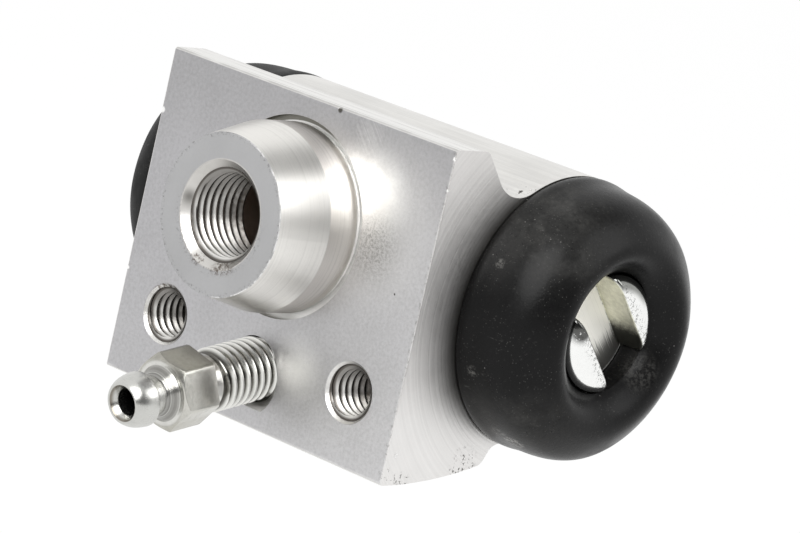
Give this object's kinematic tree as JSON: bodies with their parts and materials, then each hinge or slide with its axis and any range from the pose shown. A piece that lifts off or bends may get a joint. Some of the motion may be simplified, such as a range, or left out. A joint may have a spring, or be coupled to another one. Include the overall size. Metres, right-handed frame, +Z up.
{
  "type": "wheel cylinder",
  "caption": "Drum brake wheel cylinder: flanged body with threaded inlet boss, bleed screw, and slotted pistons in rubber boots at both ends of the bore.",
  "frame": {"origin": "where the inlet's axis crosses the mounting face", "axes": "+X along the bore towards the right piston, +Y from the mounting face into the body, +Z up"},
  "size_m": [0.0644, 0.0551, 0.0364],
  "materials": {
    "housing_aluminium": "machined, satin",
    "zinc_steel": "bright zinc plate",
    "boot_rubber": "matt moulded rubber, lightly dusted",
    "seal_rubber": "smooth rubber",
    "inner_steel": "pressed steel",
    "spring_steel": "drawn spring wire"
  },
  "bodies": {
    "housing": {"housing": "housing_aluminium", "return_spring": "spring_steel", "dust_boot_right": "boot_rubber", "dust_boot_left": "boot_rubber"},
    "piston_right": {"piston_right": "zinc_steel", "cup_seal_right": "seal_rubber", "cup_expander_right": "inner_steel"},
    "piston_left": {"piston_left": "zinc_steel", "cup_seal_left": "seal_rubber", "cup_expander_left": "inner_steel"},
    "bleed_screw": {"bleed_screw": "zinc_steel"}
  },
  "joints": [
    {"name": "piston_right_slide", "type": "slide", "parent": "housing", "child": "piston_right", "axis": [1, 0, 0], "range_m": [-0.004, 0.005], "stiffness_N_per_m": 1200, "deforming": ["dust_boot_right", "return_spring"]},
    {"name": "piston_left_slide", "type": "slide", "parent": "housing", "child": "piston_left", "axis": [-1, 0, 0], "range_m": [-0.004, 0.005], "stiffness_N_per_m": 1200, "deforming": ["dust_boot_left", "return_spring"]},
    {"name": "bleed_screw_turn", "type": "hinge", "parent": "housing", "child": "bleed_screw", "pos_m": [0, 0, -0.01675], "axis": [0, -0.9799, -0.1994], "range_deg": [0, 270]}
  ]
}
